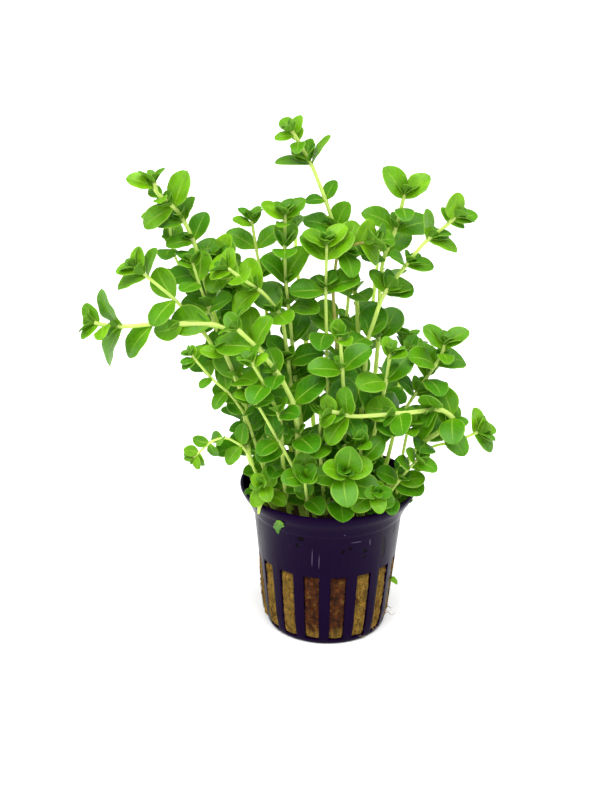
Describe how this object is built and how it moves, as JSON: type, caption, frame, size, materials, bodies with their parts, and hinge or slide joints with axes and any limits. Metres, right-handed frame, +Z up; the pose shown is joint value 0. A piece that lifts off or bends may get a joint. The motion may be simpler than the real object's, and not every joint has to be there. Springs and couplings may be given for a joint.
{
  "type": "potted aquarium plant",
  "caption": "Bunch of dwarf rotala with opposite round leaves on thin leaning stems, rooted in rock wool in a slotted dark violet net pot; stands as an aquarium or aquascape plant",
  "frame": {"origin": "centre of the net pot's underside, on the plane that it stands on", "axes": "+Z up along the pot's axis, -Y towards the front of the bunch, +X to the right seen from the front"},
  "size_m": [0.1169, 0.0739, 0.1542],
  "materials": {
    "pot_plastic": "semi-gloss moulded, dark violet",
    "rock_wool": "matted mineral fibre, olive-tan to red-brown",
    "shoot": "soft waxy green leaf and lime-yellow stem"
  },
  "bodies": {
    "root": {"net_pot": "pot_plastic", "rock_wool": "rock_wool", "shoot_01": "shoot", "shoot_02": "shoot", "shoot_03": "shoot", "shoot_04": "shoot", "shoot_05": "shoot", "shoot_06": "shoot", "shoot_07": "shoot", "shoot_08": "shoot", "shoot_09": "shoot", "shoot_10": "shoot", "shoot_11": "shoot", "shoot_12": "shoot", "shoot_13": "shoot", "shoot_14": "shoot", "shoot_15": "shoot", "shoot_16": "shoot", "shoot_17": "shoot", "shoot_18": "shoot", "shoot_19": "shoot", "shoot_20": "shoot", "shoot_21": "shoot", "shoot_22": "shoot", "shoot_23": "shoot", "shoot_24": "shoot", "shoot_25": "shoot", "shoot_26": "shoot", "shoot_27": "shoot", "shoot_28": "shoot", "shoot_29": "shoot", "shoot_30": "shoot", "shoot_31": "shoot", "shoot_32": "shoot", "shoot_33": "shoot", "shoot_34": "shoot", "shoot_35": "shoot", "shoot_36": "shoot", "shoot_37": "shoot", "shoot_38": "shoot", "shoot_39": "shoot", "shoot_40": "shoot"}
  },
  "joints": []
}
